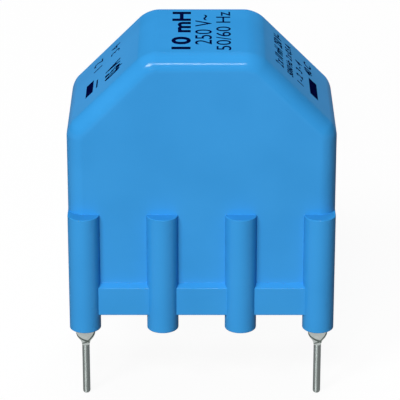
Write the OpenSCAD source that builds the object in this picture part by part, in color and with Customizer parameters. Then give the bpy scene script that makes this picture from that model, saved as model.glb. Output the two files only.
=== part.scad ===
// Upright common mode choke: a ring core with two windings, potted in a moulded case with four pins.
// Millimetres. X runs along the wide side, the front faces -Y, and Z = 0 is where the posts stand on the board.

/* [Pins] */
// Distance between the pins along the wide side
pin_span_x = 15; // [12.5:0.5:20]
// Distance between the front and the back pins
pin_span_y = 10; // [9:0.5:14]
// Thickness of the free, tinned end of a pin
pin_diameter = 0.48; // [0.4:0.04:0.6]
// How far a pin reaches below the posts
pin_length = 4.75; // [3.5:0.25:6]
// Thickness of the soldered wire wrap under the post
collar_diameter = 1.36; // [1.2:0.04:1.6]
// Height of the soldered wrap, down to the plain pin
collar_height = 1.1; // [0.9:0.1:1.6]

/* [Case] */
// Height of the case above the board
case_height = 18.5; // [17:0.5:24]
// Wall thickness of the moulding
wall = 0.9; // [0.7:0.1:1.1]
// Width of the two sloping shoulders, which fall at 45 degrees
bevel = 5; // [3:0.25:5.5]
// Rounding of the front and back edges
edge_radius = 1.1; // [0.5:0.1:1.3]
// Rounding between shoulder and side, seen from the front
shoulder_radius = 1.4; // [1.4:0.1:2.4]
// Rounding between shoulder and top, seen from the front
crown_radius = 1.8; // [1.4:0.1:2.4]
// How far the flat wall stands in front of the pin row
wall_ahead = 0.05; // [0.03:0.01:0.12]

/* [Posts and belt] */
// Number of ribbed posts along the front, and as many along the back
posts_per_side = 4; // [3:1:5]
// Thickness of a post, and of the half-round rib that runs up from it
post_diameter = 2.02; // [1.9:0.02:2.3]
// Draft of the free end of a post, on its radius
post_draft = 0.04; // [0.02:0.01:0.08]
// Height of the flat tops of the ribs
rib_top = 7.9; // [5:0.1:10]
// Clear height under the case, between the posts
standoff = 1.05; // [0.7:0.05:1.6]
// Height of the raised belt between the posts
belt_height = 2.1; // [1:0.1:2.8]
// How far the belt stands in front of the wall
belt_proud = 0.44; // [0.2:0.04:0.6]
// Fall of the sloping top of the belt
belt_slope = 0.2; // [0.1:0.05:0.4]

/* [Core and windings] */
// Turns of each winding
turns = 18; // [8:1:19]
// Thickness of the enamelled wire
wire_diameter = 0.42; // [0.32:0.02:0.44]
// Bore of the ring core as a share of its outer diameter
bore_ratio = 0.62; // [0.58:0.01:0.66]
// Arc of the core that each winding covers, in degrees
winding_arc = 150; // [120:5:150]
// Thickness of the resin that closes the case
resin_depth = 1.65; // [1.2:0.05:2]

/* [Hidden] */
$fn = 64;
eps = 0.01;

pin_x = pin_span_x / 2;
pin_y = pin_span_y / 2;
pin_r = pin_diameter / 2;
post_r = post_diameter / 2;
post_pitch = pin_span_x / (posts_per_side - 1);

// The sides of the case lie flush with the outer posts.
half_width = pin_x + post_r;
half_depth = pin_y + wall_ahead;
shoulder_z = case_height - bevel;
edge_r = min(edge_radius, shoulder_radius - 0.1, crown_radius - 0.1);
corner_run = tan(22.5);
arc_steps = 6;
edge_steps = 8;

// Arc centres of the right-hand outline, as [x, z].
shoulder_c = [half_width - shoulder_radius, shoulder_z - shoulder_radius * corner_run];
crown_c = [half_width - bevel - crown_radius * corner_run, case_height - crown_radius];

// The hollow of the case.
room_x = half_width - wall;
room_y = half_depth - wall;
room_z = case_height - wall;
room_bevel = bevel - wall * (2 - sqrt(2));
belt_top = standoff + belt_height;

// The resin floor lies a little above the lower rim.
resin_recess = 0.2;
resin_z = standoff + resin_recess;
resin_top = resin_z + resin_depth;

// Pin roots are square, one flat towards the lead, so the posts hold them against turning.
root_flat = pin_r + 0.02;
root_top = standoff + 1.75;
pin_tip = 0.12;
collar_r = collar_diameter / 2;
collar_land = 0.25 * collar_height;
collar_bore = pin_r + 0.01;
collar_lip = 0.02;

// Wire lanes: each layer of wire stands off by a named clearance.
wire_r = wire_diameter / 2;
wire_gap = 0.03;
lane_gap = 0.2;
wire_off = wire_r + wire_gap;
lane_off = wire_off + wire_diameter + 3 * wire_gap;

// Each lead drops beside its pin, through a notch that opens towards the hollow.
notch_gap = 0.09;
notch_width = wire_diameter + 2 * notch_gap;
lead_reach = root_flat + wire_r + wire_gap;
lead_dx = max(lead_reach * sqrt(0.5), pin_x - room_x + notch_width / 2);
lead_x = pin_x - lead_dx;
lead_y = pin_y - sqrt(pow(lead_reach, 2) - pow(lead_dx, 2));
lead_z = resin_top + wire_r + lane_gap;
notch_top = lead_z + wire_r + lane_gap;
notch_in = room_y - notch_gap;
notch_out = lead_y + wire_r + notch_gap;

// The ring core fills the room that the wire and its lanes leave.
core_edge = 0.3;
core_play = 0.3;
bevel_sum = half_width + case_height - bevel - wall * sqrt(2);
side_fit = room_x - lane_off - wire_r - core_play;
bevel_room = bevel_sum - resin_top - wire_off - wire_r - lane_gap;
bevel_fit = (bevel_room - sqrt(2) * (lane_off + wire_r + core_play / 3)) / (1 + sqrt(2));
height_fit = (room_z - resin_top - lane_gap - 2 * (wire_off + wire_r) - core_play) / 2;
core_r = min(side_fit, bevel_fit, height_fit);
bore_r = core_r * bore_ratio;
core_half = room_y - wire_off - wire_r - wall / 2;
core_z = resin_top + lane_gap + wire_off + wire_r + core_r;
keeper = 1.2;
divider_thickness = 0.8;

// Turns are limited to what lies side by side in the bore.
arc_start = 180 - winding_arc / 2;
fit_turns = floor(winding_arc * PI / 180 * (bore_r - wire_off) / (wire_diameter + 2 * wire_gap));
turn_count = min(turns, fit_turns);
turn_points = 12;
wire_sides = 8;

// Places a point of the core, given by its radius, angle and depth, in the case.
function on_core(r, a, y) = [r * cos(a), y, core_z + r * sin(a)];

// The twelve points of one turn round the core section, as [radius, depth].
function turn_point(k) =
    let (
        o = core_edge + wire_off,
        d = o * sqrt(0.5),
        ro = core_r - core_edge,
        ri = bore_r + core_edge,
        h = core_half - core_edge
    )
    [
        [ro + o, -h], [ro + o, h], [ro + d, h + d],
        [ro, h + o], [ri, h + o], [ri - d, h + d],
        [ri - o, h], [ri - o, -h], [ri - d, -h - d],
        [ri, -h - o], [ro, -h - o], [ro + d, -h - d]
    ][k % turn_points];

function unit(v) = v / norm(v);

// Direction of a path at each of its points.
function tangents(p) = [
    for (i = [0 : len(p) - 1])
        unit(p[min(i + 1, len(p) - 1)] - p[max(i - 1, 0)])
];

// A side direction carried along the path without twisting.
function carried(t, n) = unit(n - (n * t) * t);
function sides(t) = [
    for (i = 0, n = carried(t[0], [0, 1, 0]); i < len(t); i = i + 1, n = i < len(t) ? carried(t[i], n) : n) n
];

// A round wire of even thickness along a path.
module wire(p) {
    t = tangents(p);
    n = sides(t);
    rings = len(p);
    pts = [
        for (i = [0 : rings - 1], k = [0 : wire_sides - 1])
            p[i] + wire_r * (cos(k * 360 / wire_sides) * n[i] + sin(k * 360 / wire_sides) * cross(t[i], n[i]))
    ];
    skin = [
        for (i = [0 : rings - 2], k = [0 : wire_sides - 1])
            let (a = i * wire_sides + k, b = i * wire_sides + (k + 1) % wire_sides)
            [a, a + wire_sides, b + wire_sides, b]
    ];
    first = [for (k = [0 : wire_sides - 1]) k];
    last = [for (k = [wire_sides - 1 : -1 : 0]) (rings - 1) * wire_sides + k];
    polyhedron(points = pts, faces = concat(skin, [first, last]), convexity = 10);
}

// The left winding from the front pin, over the core from top to bottom, to the back pin.
function winding_path() =
    let (
        lane = core_r + lane_off,
        on = core_r + wire_off,
        h = core_half - core_edge,
        in_y = room_y - wire_r - 0.12,
        pitch = winding_arc / turn_count,
        over = min(9, 0.95 * pitch),
        rise = [
            [-lead_x, -lead_y, 0],
            [-lead_x, -lead_y, lead_z - 0.45],
            [-lead_x, -lead_y + 0.12, lead_z - 0.12],
            [-lead_x, -in_y - 0.2, lead_z],
            [-lead_x, -in_y, lead_z + 0.15],
            [-lead_x, -in_y + 0.1, lead_z + 0.5],
            [-(lead_x + lane) / 2, -(in_y + h) / 2, (lead_z + core_z) / 2],
            [-lane, -h - 0.1, 0.85 * core_z + 0.15 * lead_z]
        ],
        climb = [for (a = [180 : -11 : arc_start + over + 6]) on_core(lane, a, -h)],
        settle = [
            for (s = [1 : -0.25 : 0.25])
                on_core(on + (lane - on) * (1 - pow(1 - s, 2)), arc_start + over * s, -h)
        ],
        coil = [
            for (i = [0 : turn_count * turn_points + 1])
                let (q = turn_point(i))
                on_core(q[0], arc_start + pitch * i / turn_points, q[1])
        ],
        end_x = coil[len(coil) - 1][0],
        leave = [
            [end_x - 0.5, h + 0.2, lead_z + 0.1],
            [end_x - 1.1, h + 0.4, lead_z],
            [-lead_x + 0.9, in_y - 0.1, lead_z],
            [-lead_x + 0.3, in_y, lead_z],
            [-lead_x + 0.06, in_y + 0.08, lead_z],
            [-lead_x, in_y + 0.28, lead_z - 0.02],
            [-lead_x, lead_y - 0.1, lead_z - 0.14],
            [-lead_x, lead_y, lead_z - 0.45],
            [-lead_x, lead_y, 0]
        ]
    )
    concat(rise, climb, settle, coil, leave);

// The arched outline seen from the front, drawn in from its edge by the given amount.
function arch_outline(inset) =
    let (
        foot = [half_width - inset, standoff],
        shoulder = [
            for (i = [0 : arc_steps])
                shoulder_c + (shoulder_radius - inset) * [cos(45 * i / arc_steps), sin(45 * i / arc_steps)]
        ],
        crown = [
            for (i = [0 : arc_steps])
                crown_c + (crown_radius - inset) * [sin(45 - 45 * i / arc_steps), cos(45 - 45 * i / arc_steps)]
        ],
        right = concat([foot], shoulder, crown)
    )
    concat(right, [for (i = [len(right) - 1 : -1 : 0]) [-right[i][0], right[i][1]]]);

// The arched block, with every front and back edge rounded.
module arch_block() {
    quarter = [for (i = [0 : edge_steps]) 90 * i / edge_steps];
    front = [for (t = quarter) [edge_r * (1 - sin(t)), -half_depth + edge_r * (1 - cos(t))]];
    back = [for (i = [edge_steps : -1 : 0]) [front[i][0], -front[i][1]]];
    layers = concat(front, back);
    n = len(arch_outline(0));
    pts = [for (l = layers, q = arch_outline(l[0])) [q[0], l[1], q[1]]];
    skin = [
        for (j = [0 : len(layers) - 2], k = [0 : n - 1])
            let (a = j * n + k, b = j * n + (k + 1) % n)
            [a, b, b + n, a + n]
    ];
    near = [for (k = [n - 1 : -1 : 0]) k];
    far = [for (k = [0 : n - 1]) (len(layers) - 1) * n + k];
    polyhedron(points = pts, faces = concat(skin, [near, far]), convexity = 4);
}

// One post with its rib: a tapered free end below, a flat top above.
module post(height) {
    rotate_extrude()
        polygon([[0, 0], [post_r - post_draft, 0], [post_r, standoff], [post_r, height], [0, height]]);
}

// The raised belt between the outer posts, its top sloping back to the wall.
module belt() {
    front = half_depth + belt_proud;
    back = half_depth - wall / 2;
    rotate([90, 0, 90])
        linear_extrude(pin_span_x, center = true)
            polygon([
                [back, standoff], [front, standoff], [front, belt_top - belt_slope],
                [half_depth, belt_top], [back, belt_top]
            ]);
}

// The hollow, less the keeper that presses on the core from above.
module hollow() {
    difference() {
        rotate([90, 0, 0])
            linear_extrude(2 * room_y, center = true)
                polygon([
                    [-room_x, -1], [room_x, -1], [room_x, room_z - room_bevel], [room_x - room_bevel, room_z],
                    [room_bevel - room_x, room_z], [-room_x, room_z - room_bevel]
                ]);
        difference() {
            translate([-keeper, -core_half + core_edge, core_z + core_r / 2])
                cube([2 * keeper, 2 * (core_half - core_edge), case_height]);
            translate([0, 0, core_z])
                rotate([90, 0, 0])
                    cylinder(r = core_r, h = 2 * room_y, center = true);
        }
    }
}

// Square root of a pin, turned so that one flat faces the lead.
module root(height) {
    rotate([0, 0, 45])
        translate([-root_flat, -root_flat, 0])
            cube([2 * root_flat, 2 * root_flat, height]);
}

// Moulded one-piece case, open below.
module case() {
    color([0.22, 0.58, 0.85])
    difference() {
        union() {
            arch_block();
            for (s = [-1, 1]) {
                for (i = [0 : posts_per_side - 1])
                    translate([-pin_x + i * post_pitch, s * pin_y, 0])
                        post(rib_top);
                mirror([0, s > 0 ? 0 : 1, 0])
                    belt();
            }
        }
        hollow();
        for (sx = [-1, 1], sy = [-1, 1]) {
            // square hole for the pin root
            translate([sx * pin_x, sy * pin_y, -1])
                root(root_top + 1);
            // open notch that leads the wire from the hollow to the pin
            translate([sx * lead_x - notch_width / 2, sy > 0 ? notch_in : -notch_out, -1])
                cube([notch_width, notch_out - notch_in, notch_top + 1]);
        }
    }
}

// Casting resin that closes the case, with a saddle under the core.
module resin() {
    color([0.16, 0.17, 0.19])
    difference() {
        union() {
            translate([-room_x, -room_y, resin_z])
                cube([2 * room_x, 2 * room_y, resin_depth]);
            translate([-keeper, -core_half + core_edge, resin_top - eps])
                cube([2 * keeper, 2 * (core_half - core_edge), core_r / 4]);
        }
        translate([0, 0, core_z])
            rotate([90, 0, 0])
                cylinder(r = core_r, h = 2 * room_y, center = true);
    }
}

// Coated ferrite ring, its axis from front to back, edges broken for the wire.
module ring_core() {
    color([0.24, 0.30, 0.27])
    translate([0, 0, core_z])
        rotate([90, 0, 0])
            rotate_extrude()
                polygon([
                    [bore_r, -core_half + core_edge], [bore_r + core_edge, -core_half], [core_r - core_edge, -core_half],
                    [core_r, -core_half + core_edge], [core_r, core_half - core_edge], [core_r - core_edge, core_half],
                    [bore_r + core_edge, core_half], [bore_r, core_half - core_edge]
                ]);
}

// Enamelled copper on the left half of the core, leads down to the left pins.
module winding_left() {
    color([0.72, 0.38, 0.20])
        wire(winding_path());
}

// The same winding on the right half, turned half round.
module winding_right() {
    color([0.72, 0.38, 0.20])
        rotate([0, 0, 180])
            wire(winding_path());
}

// Insulating web across the bore, between the windings.
module winding_divider() {
    color([0.90, 0.88, 0.80])
    translate([0, 0, core_z])
        intersection() {
            rotate([90, 0, 0])
                cylinder(r = bore_r, h = 2 * core_half, center = true);
            cube([divider_thickness, 2 * (core_half - core_edge), 3 * bore_r], center = true);
        }
}

// Tinned pin: square root in the post, round free end with a broken tip.
module pin(sx, sy) {
    color([0.78, 0.80, 0.80])
    translate([sx * pin_x, sy * pin_y, 0]) {
        root(root_top);
        rotate_extrude()
            polygon([
                [0, standoff], [pin_r, standoff], [pin_r, -pin_length + pin_tip],
                [0.55 * pin_r, -pin_length], [0, -pin_length]
            ]);
    }
}

// The end of the wire wrapped round the pin under the post and soldered, tapering down to the pin.
module solder_collar(sx, sy) {
    color([0.70, 0.72, 0.72])
    translate([sx * pin_x, sy * pin_y, 0])
        rotate_extrude()
            polygon([
                [collar_bore, 0], [collar_r, 0], [collar_r, -collar_land],
                [collar_bore + collar_lip, -collar_height], [collar_bore, -collar_height]
            ]);
}

module pin_1() { pin(-1, -1); }
module pin_2() { pin(-1, 1); }
module pin_3() { pin(1, 1); }
module pin_4() { pin(1, -1); }
module solder_collar_1() { solder_collar(-1, -1); }
module solder_collar_2() { solder_collar(-1, 1); }
module solder_collar_3() { solder_collar(1, 1); }
module solder_collar_4() { solder_collar(1, -1); }

case();
resin();
ring_core();
winding_left();
winding_right();
winding_divider();
pin_1();
pin_2();
pin_3();
pin_4();
solder_collar_1();
solder_collar_2();
solder_collar_3();
solder_collar_4();
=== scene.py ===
"""Upright common mode choke: a wound ring core, potted in a blue moulded case with tinned pins."""
import math

import bmesh
import bpy
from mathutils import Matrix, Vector
from mathutils.kdtree import KDTree


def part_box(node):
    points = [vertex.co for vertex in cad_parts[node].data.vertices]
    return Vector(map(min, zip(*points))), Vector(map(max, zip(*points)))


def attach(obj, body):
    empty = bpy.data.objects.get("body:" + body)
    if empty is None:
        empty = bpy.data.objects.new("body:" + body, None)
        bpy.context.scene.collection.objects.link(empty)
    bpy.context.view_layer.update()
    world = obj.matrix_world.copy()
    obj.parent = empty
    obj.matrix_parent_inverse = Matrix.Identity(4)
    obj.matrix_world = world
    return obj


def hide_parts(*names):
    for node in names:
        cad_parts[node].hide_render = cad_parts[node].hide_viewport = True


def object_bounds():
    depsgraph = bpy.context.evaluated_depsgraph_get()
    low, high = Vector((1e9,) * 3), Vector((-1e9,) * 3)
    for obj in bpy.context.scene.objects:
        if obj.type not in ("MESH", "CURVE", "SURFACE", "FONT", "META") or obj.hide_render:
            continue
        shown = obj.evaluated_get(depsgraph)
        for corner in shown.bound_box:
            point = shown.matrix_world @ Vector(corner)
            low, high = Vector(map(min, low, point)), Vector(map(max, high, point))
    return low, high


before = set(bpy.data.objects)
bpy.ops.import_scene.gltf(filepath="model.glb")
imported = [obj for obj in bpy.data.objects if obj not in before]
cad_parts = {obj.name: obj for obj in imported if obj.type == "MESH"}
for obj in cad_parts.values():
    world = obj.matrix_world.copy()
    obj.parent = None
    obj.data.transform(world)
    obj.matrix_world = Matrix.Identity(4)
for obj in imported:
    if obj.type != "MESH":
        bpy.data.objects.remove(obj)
cad_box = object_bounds()


# Ring core
# A ring of pressed and fired ferrite that stands on edge in the case, tumbled smooth
# and coated with a thin grey-green lacquer that insulates it from the wire.
def new_material(name, roughness, metallic=0.0, specular=0.5):
    """A material with one Principled shader, and the shader to add nodes to."""
    material = bpy.data.materials.new(name)
    material.use_nodes = True
    shader = material.node_tree.nodes["Principled BSDF"]
    shader.inputs["Roughness"].default_value = roughness
    shader.inputs["Metallic"].default_value = metallic
    shader.inputs["Specular IOR Level"].default_value = specular
    return material, shader


def add_node(material, kind, **sockets):
    """A node of that kind, with its input sockets set by name."""
    node = material.node_tree.nodes.new(kind)
    for name, value in sockets.items():
        node.inputs[name.replace("_", " ")].default_value = value
    return node


def link(material, source, target):
    """Joins an output socket to an input socket."""
    material.node_tree.links.new(source, target)


def speckle(material, grain, detail=3.0, stretch=(1, 1, 1)):
    """Noise fixed to the piece, its grain in metres, drawn out along an axis where asked."""
    place = add_node(material, "ShaderNodeTexCoord")
    spread = add_node(material, "ShaderNodeMapping", Scale=[1 / long for long in stretch])
    noise = add_node(material, "ShaderNodeTexNoise", Scale=1 / grain, Detail=detail)
    link(material, place.outputs["Object"], spread.inputs["Vector"])
    link(material, spread.outputs["Vector"], noise.inputs["Vector"])
    return noise


def add_ramp(material, source, positions, colours):
    """A ramp between two colours, which lie at two values of the source."""
    ramp = add_node(material, "ShaderNodeValToRGB")
    for stop, position, colour in zip(ramp.color_ramp.elements, positions, colours):
        stop.position = position
        stop.color = (*colour, 1)
    link(material, source, ramp.inputs["Fac"])
    return ramp.outputs["Color"]


def blend_colours(material, shader, noise, dark, light):
    """Lets the noise, which keeps near its middle, run the base colour between two shades."""
    shades = add_ramp(material, noise.outputs["Fac"], positions=(0.35, 0.65), colours=(dark, light))
    link(material, shades, shader.inputs["Base Color"])


def vary_roughness(material, shader, noise, smooth, rough):
    """Lets the noise run the roughness between two values."""
    spread = add_node(
        material, "ShaderNodeMapRange", From_Min=0.3, From_Max=0.7, To_Min=smooth, To_Max=rough
    )
    link(material, noise.outputs["Fac"], spread.inputs["Value"])
    link(material, spread.outputs["Result"], shader.inputs["Roughness"])


def add_bump(material, shader, noise, depth, strength=1.0):
    """Raises the surface by the noise, to a depth in metres."""
    bump = add_node(material, "ShaderNodeBump", Strength=strength, Distance=depth)
    link(material, noise.outputs["Fac"], bump.inputs["Height"])
    link(material, bump.outputs["Normal"], shader.inputs["Normal"])


def finish_node(node_name, material):
    """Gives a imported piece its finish."""
    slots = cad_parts[node_name].data.materials
    slots.clear()
    slots.append(material)


ferrite, shader = new_material("ferrite_lacquer", roughness=0.5)
grains = speckle(ferrite, grain=0.0002)
blend_colours(ferrite, shader, grains, dark=(0.030, 0.044, 0.038), light=(0.060, 0.080, 0.070))
add_bump(ferrite, shader, grains, depth=0.00002, strength=0.4)
finish_node("ring_core", ferrite)


# Windings
# Two equal windings of enamelled copper wire, wound by hand on either half of the ring.
# Their ends run down through notches in the corner posts to the pins.
copper, shader = new_material("enamelled_copper", roughness=0.3, metallic=1.0)
shader.inputs["Coat Weight"].default_value = 0.6
shader.inputs["Coat Roughness"].default_value = 0.12
draw_marks = speckle(copper, grain=0.00045)
blend_colours(copper, shader, draw_marks, dark=(0.40, 0.11, 0.03), light=(0.56, 0.19, 0.065))
vary_roughness(copper, shader, draw_marks, smooth=0.22, rough=0.40)
for half in ("left", "right"):
    finish_node("winding_" + half, copper)


# Winding divider
# A strip of natural plastic, pushed into the bore of the ring, that keeps the two
# windings apart.
strip, shader = new_material("natural_plastic", roughness=0.5)
cloudiness = speckle(strip, grain=0.001)
blend_colours(strip, shader, cloudiness, dark=(0.70, 0.65, 0.52), light=(0.82, 0.78, 0.66))
finish_node("winding_divider", strip)


# Case
# One thermoplastic moulding, open below: an arched box whose ribs run down into round
# posts, with a belt between them. The ring is lowered in from below and potted.
METRES = 0.001  # the new pieces are modelled in millimetres, and brought to metres at the end


def box_of(node_name):
    """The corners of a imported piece, in millimetres."""
    return [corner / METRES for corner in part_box(node_name)]


# the arched box
case_high = box_of("case")[1]
pin_low, pin_high = box_of("pin_3")
pin_x = (pin_low.x + pin_high.x) / 2
pin_y = (pin_low.y + pin_high.y) / 2
wall_ahead = 0.05  # how far the front wall stands before the row of pins
half_width = case_high.x
half_depth = pin_y + wall_ahead
case_height = case_high.z
standoff = 1.05
shoulder = 5.0
shoulder_radius = 1.4
shoulder_steps = 8
crown_radius = 1.8
edge_radius = 1.1
edge_steps = 10
fillet = 0.09
fillet_angle = 25
broken_edge = 0.05
small_steps = 3

# the posts and the belt
post_radius = half_width - pin_x
rib_top = 7.9
cheek_depth = 1.5
hair = 0.002  # keeps faces apart that would lie in one plane
belt_top = 3.15
belt_proud = 0.44
belt_slope = 0.2
belt_root = 0.4

# the hollow, and the keeper over the ring
wall = 0.9
room_x = half_width - wall
room_y = half_depth - wall
room_z = case_height - wall
room_shoulder = shoulder - wall * (2 - math.sqrt(2))
core_low, core_high = box_of("ring_core")
core_z = (core_low.z + core_high.z) / 2
core_radius = core_high.x
core_play = 0.01
core_edge = 0.3
keeper_half = 1.2
under_feet = -1  # cutters start below the feet of the posts

# the holes and notches in the corner posts
root_half = 0.26
root_top = 2.8
lead_inset = 0.354  # how far inside its pin the end of a winding comes down
lead_x = pin_x - lead_inset
notch_half = 0.3
notch_in = 4.06
notch_out = 4.95
notch_top = 3.72


def only(piece):
    """Makes one object the only one selected, and the active one."""
    bpy.ops.object.select_all(action="DESELECT")
    bpy.context.view_layer.objects.active = piece
    piece.select_set(True)


def settle():
    """Applies the place, turn and size of the active object to its mesh."""
    bpy.ops.object.transform_apply(location=True, rotation=True, scale=True)
    return bpy.context.object


def add_block(low, high):
    """A cube primitive brought to the box between two corners."""
    bpy.ops.object.select_all(action="DESELECT")
    low, high = Vector(low), Vector(high)
    bpy.ops.mesh.primitive_cube_add(size=1, location=(low + high) / 2)
    bpy.context.object.scale = high - low
    return settle()


def add_round(radius, low, high, sides):
    """An upright cylinder primitive on the axis, between two heights."""
    bpy.ops.object.select_all(action="DESELECT")
    bpy.ops.mesh.primitive_cylinder_add(
        vertices=sides, radius=radius, depth=high - low, location=(0, 0, (low + high) / 2)
    )
    return settle()


def copy_of(piece, shift=(0, 0, 0), turn=(0, 0, 0)):
    """A copy with its own mesh, turned about the origin and then moved."""
    only(piece)
    bpy.ops.object.duplicate()
    bpy.context.object.location = shift
    bpy.context.object.rotation_euler = turn
    return settle()


def drop(piece):
    """Removes an object that has served its turn."""
    bpy.data.objects.remove(piece)


def edit(piece):
    """Opens one piece alone in edit mode."""
    only(piece)
    bpy.ops.object.mode_set(mode="EDIT")


def close():
    """Leaves edit mode."""
    bpy.ops.object.mode_set(mode="OBJECT")


def pick_edges(test):
    """Selects the edges of the open piece for which the test holds."""
    mesh = bmesh.from_edit_mesh(bpy.context.object.data)
    bpy.ops.mesh.select_all(action="DESELECT")
    bpy.ops.mesh.select_mode(type="EDGE")
    for edge in mesh.edges:
        edge.select_set(test(edge, edge.verts[0].co, edge.verts[1].co))
    bmesh.update_edit_mesh(bpy.context.object.data)


def pick_faces(test):
    """Selects the faces of the open piece for which the test holds."""
    mesh = bmesh.from_edit_mesh(bpy.context.object.data)
    bpy.ops.mesh.select_all(action="DESELECT")
    bpy.ops.mesh.select_mode(type="FACE")
    for face in mesh.faces:
        face.select_set(test(face))
    bmesh.update_edit_mesh(bpy.context.object.data)


def near(a, b):
    """Whether two lengths are the same, to a thousandth of a millimetre."""
    return abs(a - b) < 1e-3


def lies_at(a, b, **place):
    """Whether both ends of an edge have these coordinates."""
    return all(near(getattr(end, axis), value) for end in (a, b) for axis, value in place.items())


def faces_down(face):
    """Whether a face looks down."""
    return face.normal.z < -0.9


def round_edges(offset, steps, clamp=False):
    """Bevels the selected edges of the open piece."""
    bpy.ops.mesh.bevel(offset=offset, segments=steps, affect="EDGES", clamp_overlap=clamp)


def apply(piece, kind, **values):
    """Adds a modifier with these values, and applies it."""
    only(piece)
    modifier = piece.modifiers.new(kind.lower(), kind)
    for name, value in values.items():
        setattr(modifier, name, value)
    bpy.ops.object.modifier_apply(modifier=modifier.name)


def combine(piece, other, operation):
    """Joins the other piece to this one, or cuts it away."""
    apply(piece, "BOOLEAN", operation=operation, object=other, solver="EXACT")
    drop(other)


def join(pieces):
    """Makes several pieces one object."""
    only(pieces[0])
    for piece in pieces:
        piece.select_set(True)
    bpy.ops.object.join()
    return pieces[0]


def smooth(piece, angle):
    """Shades a piece round, with sharp edges over that angle, and keeps its flat faces flat."""
    only(piece)
    bpy.ops.object.shade_smooth_by_angle(angle=math.radians(angle))
    apply(piece, "WEIGHTED_NORMAL", keep_sharp=True)


def hand_over(piece, name, material):
    """Names a finished piece, brings it to metres, and gives it its finish and body."""
    only(piece)
    piece.scale = (METRES,) * 3
    settle()
    piece.name = piece.data.name = name
    piece.data.materials.clear()
    piece.data.materials.append(material)
    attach(piece, "root")


# the arched box: a block with its two shoulders cut at 45 degrees and every edge rounded
case = add_block((-half_width, -half_depth, standoff), (half_width, half_depth, case_height))
edit(case)
pick_edges(lambda edge, a, b: lies_at(a, b, z=case_height) and near(a.x, b.x))
round_edges(shoulder, steps=1)
bevel_reach = math.tan(math.pi / 8)  # of a rounding over 45 degrees, for a radius of one
pick_edges(lambda edge, a, b: lies_at(a, b, z=case_height - shoulder) and near(a.x, b.x))
round_edges(shoulder_radius * bevel_reach, shoulder_steps)
pick_edges(lambda edge, a, b: lies_at(a, b, z=case_height) and near(a.x, b.x))
round_edges(crown_radius * bevel_reach, shoulder_steps)
pick_edges(
    lambda edge, a, b: near(abs(a.y), half_depth) and near(a.y, b.y) and not lies_at(a, b, z=standoff)
)
round_edges(edge_radius, edge_steps)
close()

# the belt, its top sloping back to the wall, and its copy at the front
belt_front = half_depth + belt_proud
belt = add_block((-pin_x, half_depth - belt_root, standoff), (pin_x, belt_front, belt_top))
edit(belt)
for outside, rise in ((True, -belt_slope), (False, belt_slope * belt_root / belt_proud)):
    pick_edges(
        lambda edge, a, b: lies_at(a, b, z=belt_top) and near(a.y, b.y) and (a.y > half_depth) == outside
    )
    bpy.ops.transform.translate(value=(0, 0, rise))
pick_edges(lambda edge, a, b: lies_at(a, b, y=belt_front) and near(a.z, b.z))
round_edges(broken_edge, small_steps)
close()
combine(case, join([belt, copy_of(belt, turn=(0, 0, math.pi))]), "UNION")

# one post, drawn down from the rib to its foot
post = add_round(post_radius, standoff, rib_top, sides=36)
edit(post)
pick_faces(faces_down)
bpy.ops.mesh.extrude_region_move(TRANSFORM_OT_translate={"value": (0, 0, -standoff)})
pick_edges(lambda edge, a, b: lies_at(a, b, z=0) or lies_at(a, b, z=rib_top))
round_edges(broken_edge, small_steps)
close()

# the two corner posts of a row carry on at the outside, flush with the side walls
cheek_out = hair - post_radius
cheek = add_block((cheek_out, 0, standoff + hair), (cheek_out / 2, cheek_depth, rib_top))
edit(cheek)
pick_edges(lambda edge, a, b: lies_at(a, b, x=cheek_out, z=rib_top))
round_edges(broken_edge, small_steps)
close()
left_post = copy_of(post)
right_post = copy_of(post)
combine(right_post, copy_of(cheek, shift=(0, cheek_depth, 0), turn=(0, 0, math.pi)), "UNION")
combine(left_post, cheek, "UNION")

# four posts along the front, and the same row turned round along the back
shapes = [left_post, post, post, right_post]
post_pitch = 2 * pin_x / (len(shapes) - 1)
row_of_posts = []
for column, shape in enumerate(shapes):
    row_of_posts.append(copy_of(shape, shift=(column * post_pitch - pin_x, -pin_y, 0)))
for shape in (left_post, post, right_post):
    drop(shape)
front_posts = join(row_of_posts)
combine(case, join([front_posts, copy_of(front_posts, turn=(0, 0, math.pi))]), "UNION")

# fillets in the inner corners where ribs, belt and wall meet, above the lower rim
rim_band = 0.01
edit(case)
bpy.ops.mesh.select_all(action="SELECT")
bpy.ops.mesh.remove_doubles(threshold=1e-4)
bpy.ops.mesh.dissolve_limited(angle_limit=math.radians(0.5))
pick_edges(
    lambda edge, a, b: len(edge.link_faces) == 2
    and edge.calc_face_angle_signed() < -math.radians(fillet_angle)
    and max(a.z, b.z) > standoff + rim_band
    and max(abs(a.x), abs(b.x)) < half_width - fillet
)
round_edges(fillet, small_steps, clamp=True)
close()

# the hollow, with a keeper left standing in it that presses on the ring from above
hollow = add_block((-room_x, -room_y, under_feet), (room_x, room_y, room_z))
edit(hollow)
pick_edges(lambda edge, a, b: lies_at(a, b, z=room_z) and near(a.x, b.x))
round_edges(room_shoulder, steps=1)
close()
keeper = add_block(
    (-keeper_half, core_low.y + core_edge, core_z + core_radius / 2),
    (keeper_half, core_high.y - core_edge, case_height),
)
upright_ring = add_round(core_radius + core_play, -room_y, room_y, sides=64)
ring_seat = copy_of(upright_ring, shift=(0, 0, core_z), turn=(math.pi / 2, 0, 0))
drop(upright_ring)
combine(keeper, copy_of(ring_seat), "DIFFERENCE")
combine(hollow, keeper, "DIFFERENCE")
combine(case, hollow, "DIFFERENCE")

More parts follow.
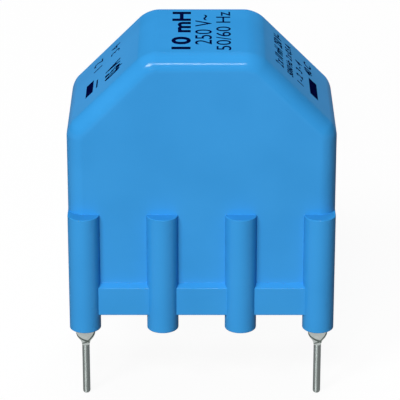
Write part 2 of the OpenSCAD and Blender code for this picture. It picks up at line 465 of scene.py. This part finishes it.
# in each corner post a square hole for the pin root, and a notch that lets the wire through
corners = [(-1, -1), (-1, 1), (1, 1), (1, -1)]  # side and row, in the order of the pins
root_hole = add_block((-root_half, -root_half, under_feet), (root_half, root_half, root_top))
notch = add_block((-notch_half, -notch_out, under_feet), (notch_half, -notch_in, notch_top))
holes = []
notches = []
for side, row in corners:
    facing = 0 if row < 0 else math.pi
    holes.append(copy_of(root_hole, shift=(side * pin_x, row * pin_y, 0), turn=(0, 0, math.pi / 4)))
    notches.append(copy_of(notch, shift=(side * lead_x, 0, 0), turn=(0, 0, facing)))
drop(root_hole)
drop(notch)
combine(case, join(notches), "DIFFERENCE")
combine(case, join(holes), "DIFFERENCE")
smooth(case, angle=35)

blue, shader = new_material("blue_plastic", roughness=0.5, specular=0.0)
shader.inputs["Coat Weight"].default_value = 0.15
shader.inputs["Coat IOR"].default_value = 2.0
shader.inputs["Coat Roughness"].default_value = 0.15
flow = speckle(blue, grain=0.004, detail=2.0)
blend_colours(blue, shader, flow, dark=(0.034, 0.290, 0.668), light=(0.038, 0.306, 0.698))
mould_grain = speckle(blue, grain=0.00012)
vary_roughness(blue, shader, mould_grain, smooth=0.4, rough=0.6)
add_bump(blue, shader, mould_grain, depth=0.000001, strength=0.15)
hand_over(case, "moulded_case", blue)
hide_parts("case")


# Resin
# Black casting resin, poured in from below, that sets round the foot of the ring and
# closes the case. As it cures it creeps a little way along the walls.
resin_recess = 0.2
resin_depth = 1.65
resin_base = standoff + resin_recess
resin_top = resin_base + resin_depth
creep = 0.12
creep_steps = [(0.10, 0.07), (0.22, 0.04), (0.45, 0.015)]  # inward and upward, from the walls
saddle_root = 0.5
saddle_height = 1.5
resin = add_block((-room_x, -room_y, resin_base - creep), (room_x, room_y, resin_top))
edit(resin)
pick_faces(faces_down)
for inward, upward in creep_steps:
    bpy.ops.mesh.inset(thickness=inward)
    bpy.ops.transform.translate(value=(0, 0, upward))
close()

# a saddle under the ring, hollowed by it
saddle = add_block(
    (-keeper_half, core_low.y + core_edge, resin_top - saddle_root),
    (keeper_half, core_high.y - core_edge, resin_top + saddle_height),
)
combine(resin, saddle, "UNION")
combine(resin, ring_seat, "DIFFERENCE")
smooth(resin, angle=40)

casting, shader = new_material("casting_resin", roughness=0.3)
clouds = speckle(casting, grain=0.0012)
blend_colours(casting, shader, clouds, dark=(0.012, 0.013, 0.016), light=(0.028, 0.030, 0.034))
vary_roughness(casting, shader, clouds, smooth=0.18, rough=0.42)
add_bump(casting, shader, speckle(casting, grain=0.0009, detail=1.0), depth=0.00003, strength=0.5)
hand_over(resin, "potting_resin", casting)
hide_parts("resin")


# Pins
# Drawn wire, tinned all over. Its root is rolled square and pressed into the corner
# post, and its free end is round with a rounded tip.
pin_radius = 0.24
pin_foot = pin_low.z
pin_sides = 32
tip_rounding = 0.2
tip_steps = 5
pin = add_round(pin_radius, pin_foot, standoff, pin_sides)
edit(pin)
pick_edges(lambda edge, a, b: lies_at(a, b, z=pin_foot))
round_edges(tip_rounding, tip_steps)
close()
upright_root = add_block((-root_half, -root_half, 0), (root_half, root_half, root_top))
combine(pin, copy_of(upright_root, turn=(0, 0, math.pi / 4)), "UNION")
drop(upright_root)
smooth(pin, angle=35)

tin, shader = new_material("tinned_wire", roughness=0.5, metallic=0.9)
shader.inputs["Anisotropic"].default_value = 0.94
shader.inputs["Anisotropic Rotation"].default_value = 0.25
drawn = speckle(tin, grain=0.0002, stretch=(1, 1, 12))
blend_colours(tin, shader, drawn, dark=(0.48, 0.54, 0.52), light=(0.56, 0.62, 0.60))
vary_roughness(tin, shader, drawn, smooth=0.50, rough=0.56)
add_bump(tin, shader, drawn, depth=0.000002, strength=0.3)
for number, (side, row) in enumerate(corners, start=1):
    copy = copy_of(pin, shift=(side * pin_x, row * pin_y, 0))
    hand_over(copy, f"tinned_pin_{number}", tin)
    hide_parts(f"pin_{number}")
drop(pin)


# Solder collars
# The end of each winding is crossed round its pin close under the post and dipped in
# solder, which fills the wrap and runs out thin along the pin. Painted shade darkens its grooves.
solder_profile = [  # heights and radii, from the pin up to the post
    (-1.24, 0.246), (-1.13, 0.265), (-1.05, 0.29), (-0.91, 0.355),
    (-0.77, 0.465), (-0.63, 0.555), (-0.45, 0.62), (0.05, 0.64),
]

# the two grooves, as angles from the front and heights
falling_groove = [(-150, -0.10), (-95, -0.31), (-42, -0.60), (25, -0.93), (75, -1.13)]
rising_groove = [(80, -0.18), (42, -0.60), (25, -0.93), (-60, -1.15), (-100, -1.20)]
groove_steps = 12
groove_section = 0.085
groove_offset = 0.02
groove_end = -1.2
groove_taper = 0.35
thinnest_groove = 0.2
# the painted shade in the grooves: the width of its soft rim, where it is full, and its darkening tint
groove_shade_edge = 0.03
groove_shade_full = 0.8
groove_shade_tint = (0.26, 0.29, 0.27)

# how the collar is meshed, and its play under the post and round the pin
collar_sides = 48
collar_grain = 0.02
post_gap = 0.005
pin_gap = 0.005


def surface_point(angle, height):
    """The point on the plain solder at that angle from the front, and at that height."""
    for (low, radius), (high, next_radius) in zip(solder_profile, solder_profile[1:]):
        if low <= height <= high:
            reach = radius + (next_radius - radius) * (height - low) / (high - low) + groove_offset
    turn = math.radians(angle)
    return Vector((reach * math.sin(turn), -reach * math.cos(turn), height))


def groove_route(stations):
    """The points of a groove, from station to station, each an angle and a height."""
    route = []
    for (angle, height), (next_angle, next_height) in zip(stations, stations[1:]):
        for step in range(groove_steps):
            share = step / groove_steps
            step_angle = angle + (next_angle - angle) * share
            step_height = height + (next_height - height) * share
            route.append(surface_point(step_angle, step_height))
    return route


def groove_size(height):
    """How large the groove is at that height, as a share: it thins out where the solder does."""
    return min(1, max(thinnest_groove, (height - groove_end) / groove_taper))


def groove_cutter(route):
    """A tube along the groove, to cut it with."""
    bpy.ops.object.select_all(action="DESELECT")
    bpy.ops.curve.primitive_nurbs_path_add()
    cutter = bpy.context.object
    spline = cutter.data.splines[0]
    spline.points.add(len(route) - len(spline.points))
    for point, place in zip(spline.points, route):
        point.co = (*place, 1)
        point.radius = groove_size(place.z)
    cutter.data.bevel_depth = groove_section
    cutter.data.bevel_resolution = 3
    cutter.data.use_fill_caps = True
    bpy.ops.object.convert(target="MESH")
    cutter = settle()
    edit(cutter)
    bpy.ops.mesh.select_all(action="SELECT")
    bpy.ops.mesh.remove_doubles(threshold=1e-5)
    bpy.ops.mesh.normals_make_consistent(inside=False)
    close()
    return cutter


# the solder body, drawn up from the pin ring by ring, and the grooves between the strands
bpy.ops.object.select_all(action="DESELECT")
foot_z, foot_radius = solder_profile[0]
bpy.ops.mesh.primitive_circle_add(
    vertices=collar_sides, radius=foot_radius, fill_type="NGON", location=(0, 0, foot_z)
)
collar = settle()
edit(collar)
bpy.ops.mesh.select_all(action="SELECT")
for (z, radius), (next_z, next_radius) in zip(solder_profile, solder_profile[1:]):
    bpy.ops.mesh.extrude_region_move(TRANSFORM_OT_translate={"value": (0, 0, next_z - z)})
    spread = next_radius / radius
    bpy.ops.transform.resize(value=(spread, spread, 1), center_override=(0, 0, next_z))
bpy.ops.mesh.select_all(action="SELECT")
bpy.ops.mesh.normals_make_consistent(inside=False)
close()
routes = [groove_route(falling_groove), groove_route(rising_groove)]
for route in routes:
    combine(collar, groove_cutter(route), "DIFFERENCE")
apply(collar, "REMESH", mode="VOXEL", voxel_size=collar_grain)
apply(collar, "SMOOTH", factor=0.5, iterations=2)

# cut off flat under the post, and bored for the pin
edit(collar)
bpy.ops.mesh.select_all(action="SELECT")
bpy.ops.mesh.bisect(plane_co=(0, 0, -post_gap), plane_no=(0, 0, 1), clear_outer=True, use_fill=True)
close()
combine(collar, add_round(pin_radius + pin_gap, pin_foot, standoff, pin_sides), "DIFFERENCE")
smooth(collar, angle=50)

# how much painted shade lies at each point: all of it in the grooves and on their rims
places = [place for route in routes for place in route]
groove_middle = KDTree(len(places))
for number, place in enumerate(places):
    groove_middle.insert(place, number)
groove_middle.balance()
groove_shade = collar.data.attributes.new("groove_shade", "FLOAT", "POINT")
for vertex, amount in zip(collar.data.vertices, groove_shade.data):
    place, number, distance = groove_middle.find(vertex.co)
    rim = groove_section * groove_size(place.z)
    amount.value = min(1, max(0, (rim + groove_shade_edge - distance) / groove_shade_edge))

solder, shader = new_material("solder", roughness=0.4, metallic=1.0)
crystals = speckle(solder, grain=0.00025)
blend_colours(solder, shader, crystals, dark=(0.84, 0.91, 0.88), light=(0.91, 0.98, 0.95))
vary_roughness(solder, shader, crystals, smooth=0.36, rough=0.50)
add_bump(solder, shader, crystals, depth=0.00001, strength=0.4)

# painted shade darkens the solder in the grooves: its tint is multiplied with the colour of the crystals
groove_shade_node = add_node(solder, "ShaderNodeAttribute")
groove_shade_node.attribute_name = "groove_shade"
clear = (1, 1, 1)
painted_shade = add_ramp(solder, groove_shade_node.outputs["Fac"], positions=(0, groove_shade_full), colours=(clear, groove_shade_tint))
shaded_solder = add_node(solder, "ShaderNodeMix")
shaded_solder.data_type = "RGBA"
shaded_solder.blend_type = "MULTIPLY"
shaded_solder.inputs["Factor"].default_value = 1.0
colour_in = [socket for socket in shaded_solder.inputs if socket.type == "RGBA"]
colour_out = [socket for socket in shaded_solder.outputs if socket.type == "RGBA"]
link(solder, shader.inputs["Base Color"].links[0].from_socket, colour_in[0])
link(solder, painted_shade, colour_in[1])
link(solder, colour_out[0], shader.inputs["Base Color"])
for number, (side, row) in enumerate(corners, start=1):
    facing = 0 if row < 0 else math.pi
    copy = copy_of(collar, shift=(side * pin_x, row * pin_y, 0), turn=(0, 0, facing))
    hand_over(copy, f"soldered_wrap_{number}", solder)
    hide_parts(f"solder_collar_{number}")
drop(collar)


# Print
# Ratings and signs, printed on the top and on both shoulders in dark blue ink. The ink
# stands a hundredth of a millimetre proud of the moulding.
ink_height = 0.012
ink_sunk = 0.004
prints = []


def stamp(shape, face, across, along):
    """Gives a flat shape its ink thickness and lays it on the top or on a shoulder.

    On the sheet, X is the reading direction and Y is up. On the part the lines read from
    front to back, and their upper edge faces left.
    """
    apply(shape, "SOLIDIFY", thickness=ink_height, offset=1.0)
    shape.location = (along, across, -ink_sunk)
    settle()
    shape.rotation_euler = (0, 0, math.pi / 2)
    settle()
    if face != "top":
        side = -1 if face == "left" else 1
        shape.rotation_euler = (0, side * math.pi / 4, 0)
        settle()
        shape.location = (side * (half_width - shoulder), 0, 0)
    shape.location.z = case_height
    settle()
    prints.append(shape)


def words(text, face, low, high, start, end, weight=0.0):
    """One line of print that fills the strip from low to high and from start to end."""
    bpy.ops.object.select_all(action="DESELECT")
    bpy.ops.object.text_add()
    line = bpy.context.object
    line.data.body = text
    line.data.offset = weight
    line.data.resolution_u = 4
    bpy.ops.object.convert(target="MESH")
    line = bpy.context.object
    xs = [vertex.co.x for vertex in line.data.vertices]
    ys = [vertex.co.y for vertex in line.data.vertices]
    line.scale = ((end - start) / (max(xs) - min(xs)), (high - low) / (max(ys) - min(ys)), 1)
    line.location = (-min(xs) * line.scale.x, -min(ys) * line.scale.y, 0)
    stamp(settle(), face, low, start)


def bar(face, low, high, start, end):
    """A plain printed rectangle."""
    bpy.ops.object.select_all(action="DESELECT")
    bpy.ops.mesh.primitive_plane_add(size=1, location=((end - start) / 2, (high - low) / 2, 0))
    bpy.context.object.scale = (end - start, high - low, 1)
    stamp(settle(), face, low, start)


words("10 mH", "top", low=0.68, high=1.90, start=-3.6, end=3.6, weight=0.03)
words("250 V~", "top", low=-0.65, high=0.42, start=-2.7, end=3.0)
words("50/60 Hz", "top", low=-1.85, high=-0.92, start=-3.75, end=3.6)
bar("left", low=4.80, high=5.45, start=-2.1, end=0.0)
bar("left", low=4.38, high=4.50, start=-2.0, end=-0.6)
words("0,5 A", "left", low=2.1, high=3.7, start=-2.5, end=-0.5, weight=0.05)
words("1 2", "left", low=4.1, high=4.9, start=1.4, end=2.8)
words("3 4", "left", low=2.5, high=3.3, start=1.4, end=2.8)
bar("right", low=-5.45, high=-4.75, start=-2.4, end=0.4)
words("2 x 10 mH  250 V~", "right", low=-2.35, high=-1.60, start=-2.5, end=3.2, weight=0.02)
words("50/60 Hz  2 x 0,5 A", "right", low=-3.30, high=-2.65, start=-2.6, end=3.0, weight=0.02)
words("1 - 2  3 - 4", "right", low=-4.15, high=-3.55, start=-2.4, end=1.6, weight=0.02)
words("40 C", "right", low=-5.10, high=-4.40, start=1.0, end=2.9, weight=0.02)

marking = join(prints)
ink, shader = new_material("printing_ink", roughness=0.5, specular=0.0)
coverage = speckle(ink, grain=0.0003)
blend_colours(ink, shader, coverage, dark=(0.000, 0.001, 0.026), light=(0.001, 0.004, 0.050))
hand_over(marking, "print", ink)


# Floor
# A plain pale sheet that the tips of the pins stand on. The camera and reflections see
# it white, with the shadow of the part on it.
sheet_size = 3
sheet_dark = 0.07  # as other surfaces meet it, so that it throws little light back at the part
sheet_pale = 0.90  # as the camera sees it
sheet_glow = 0.92
sheet_reflected = 0.55


def add_math(owner, operation, *values):
    """A Math node on sockets or plain numbers, and its result."""
    node = add_node(owner, "ShaderNodeMath")
    node.operation = operation
    for socket, value in zip(node.inputs, values):
        if isinstance(value, (int, float)):
            socket.default_value = value
        else:
            link(owner, value, socket)
    return node.outputs["Value"]


def how_seen(owner, reflected):
    """One where the camera sees the owner, that share where it is reflected, and else nothing."""
    rays = add_node(owner, "ShaderNodeLightPath").outputs
    mirrored = add_math(owner, "MAXIMUM", rays["Is Glossy Ray"], rays["Is Transmission Ray"])
    return add_math(owner, "MULTIPLY_ADD", mirrored, reflected, rays["Is Camera Ray"])


bpy.ops.object.select_all(action="DESELECT")
bpy.ops.mesh.primitive_plane_add(size=sheet_size, location=(0, 0, cad_box[0].z))
floor = settle()
floor.name = "floor"
paper, shader = new_material("pale_sheet", roughness=0.9, specular=0.0)
rays = add_node(paper, "ShaderNodeLightPath")
tone = add_node(paper, "ShaderNodeMapRange", To_Min=sheet_dark, To_Max=sheet_pale)
link(paper, rays.outputs["Is Camera Ray"], tone.inputs["Value"])
link(paper, tone.outputs["Result"], shader.inputs["Base Color"])
glow = add_node(paper, "ShaderNodeEmission", Strength=1.0)
share = add_math(paper, "MULTIPLY", how_seen(paper, sheet_reflected), sheet_glow)
mix = add_node(paper, "ShaderNodeMixShader")
link(paper, share, mix.inputs["Fac"])
link(paper, shader.outputs["BSDF"], mix.inputs[1])
link(paper, glow.outputs["Emission"], mix.inputs[2])
link(paper, mix.outputs["Shader"], paper.node_tree.nodes["Material Output"].inputs["Surface"])
floor.data.materials.append(paper)


# Light
# Two soft lights high in front draw the bright line along the crown and the streak on the
# pins. Three more, in front, behind and at the back right, lift the faces without showing
# in the gloss. The backdrop is white where it is seen.
fill_level = 0.03
backdrop_reflected = 0.02
world = bpy.data.worlds.new("studio")
bpy.context.scene.world = world
world.use_nodes = True
background = world.node_tree.nodes["Background"]
background.inputs["Color"].default_value = (1, 1, 1, 1)
seen = how_seen(world, backdrop_reflected)
level = add_math(world, "MULTIPLY_ADD", seen, 1 - fill_level, fill_level)
link(world, level, background.inputs["Strength"])

centre = Vector((0, 0, 0.008))
light_distance = 0.45


def add_softbox(name, direction, width, height, power, mirrored):
    """A soft light that faces the part, and shows in its gloss or not."""
    lamp = bpy.data.lights.new(name, "AREA")
    lamp.shape = "RECTANGLE"
    lamp.size = width
    lamp.size_y = height
    lamp.energy = power
    holder = bpy.data.objects.new(name, lamp)
    holder.visible_glossy = mirrored
    bpy.context.scene.collection.objects.link(holder)
    holder.location = centre + light_distance * Vector(direction).normalized()
    holder.rotation_euler = (centre - holder.location).to_track_quat("-Z", "Y").to_euler()


add_softbox("main_light", (-0.42, -0.615, 0.67), width=0.11, height=0.11, power=1.03, mirrored=True)
add_softbox("edge_light", (-0.06, -0.68, 0.70), width=0.12, height=0.04, power=0.42, mirrored=True)
add_softbox("front_fill", (-0.20, -0.92, 0.34), width=0.12, height=0.12, power=1.02, mirrored=False)
add_softbox("back_fill", (0.0, 0.62, 0.78), width=0.25, height=0.25, power=0.94, mirrored=False)
add_softbox("side_fill", (0.50, 0.85, 0.15), width=0.25, height=0.25, power=0.85, mirrored=False)


# Camera
# It stands where the photograph was taken from, a little above and straight in front. It is
# turned a little, with no shift, so that the part lies in the frame as it does there.
image_size = 400
focal_pixels = 2487
principal_point = (201.65, 182.60)
elevation = math.radians(22.70)
distance = 0.1622
camera_data = bpy.data.cameras.new("camera")
camera_data.sensor_width = 36
camera_data.lens = focal_pixels / image_size * camera_data.sensor_width
camera_data.clip_start = 0.01
camera = bpy.data.objects.new("camera", camera_data)
bpy.context.scene.collection.objects.link(camera)
bpy.context.scene.camera = camera
ahead = Vector((0, math.cos(elevation), -math.sin(elevation)))
right = Vector((1, 0, 0))
up = right.cross(ahead)
camera.location = centre - distance * ahead
aside = (image_size / 2 - principal_point[0]) / focal_pixels
below = (image_size / 2 - principal_point[1]) / focal_pixels
camera.rotation_euler = (ahead + aside * right - below * up).to_track_quat("-Z", "Y").to_euler()
bpy.context.scene.view_settings.view_transform = "Standard"
